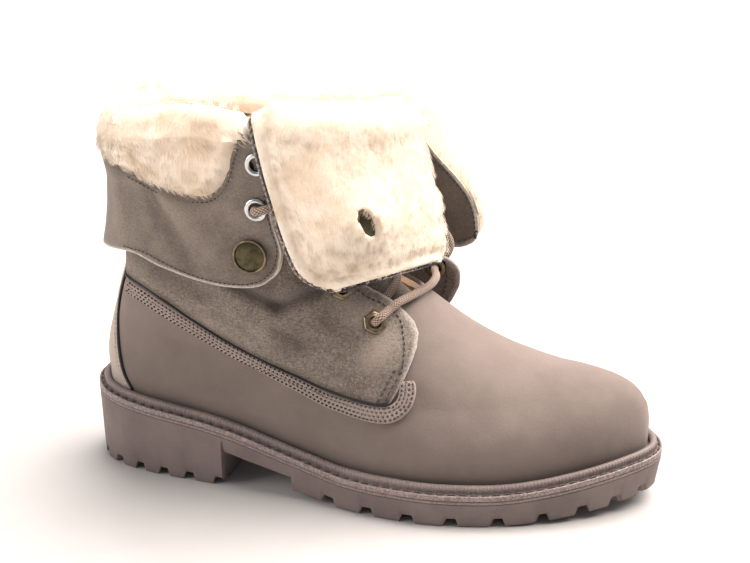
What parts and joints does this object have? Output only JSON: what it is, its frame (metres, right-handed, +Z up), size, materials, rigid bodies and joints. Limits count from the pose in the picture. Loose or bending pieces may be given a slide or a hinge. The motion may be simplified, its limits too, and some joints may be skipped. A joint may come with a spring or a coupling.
{
  "type": "biker ankle boot",
  "caption": "Fur-lined lace-up ankle boot on a lugged rubber sole, its collar and tongue turned down to show the pile",
  "frame": {"origin": "middle of the heel's tread, on the floor", "axes": "+X to the toe, +Y to the inner (medial) side of the foot, +Z up"},
  "size_m": [0.28, 0.1193, 0.1916],
  "materials": {
    "sole rubber": "matt taupe grey",
    "welt rubber": "matt taupe grey",
    "nubuck": "matt nubuck, warm taupe",
    "suede": "napped suede, greige",
    "fleece": "cream plush pile",
    "brass": "antique brass",
    "nickel": "bright nickel",
    "lace": "braided cord"
  },
  "bodies": {
    "root": {"band_lateral": "nubuck", "band_medial": "nubuck", "cuff": "suede", "cuff_eyelet_lateral_1": "nickel", "cuff_eyelet_lateral_2": "nickel", "cuff_eyelet_medial_1": "nickel", "cuff_eyelet_medial_2": "nickel", "cuff_snap_lateral": "brass", "cuff_snap_medial": "brass", "hex_eyelet_lateral_1": "brass", "hex_eyelet_lateral_2": "brass", "hex_eyelet_lateral_3": "brass", "hex_eyelet_medial_1": "brass", "hex_eyelet_medial_2": "brass", "hex_eyelet_medial_3": "brass", "insole": "fleece", "lace_bar_1": "lace", "lace_bar_2": "lace", "lace_bar_3": "lace", "lace_run_lateral": "lace", "lace_run_medial": "lace", "outsole": "sole rubber", "quarter_lateral": "suede", "quarter_medial": "suede", "tongue": "fleece", "tongue_snap": "brass", "upper": "nubuck", "welt": "welt rubber"}
  },
  "joints": []
}
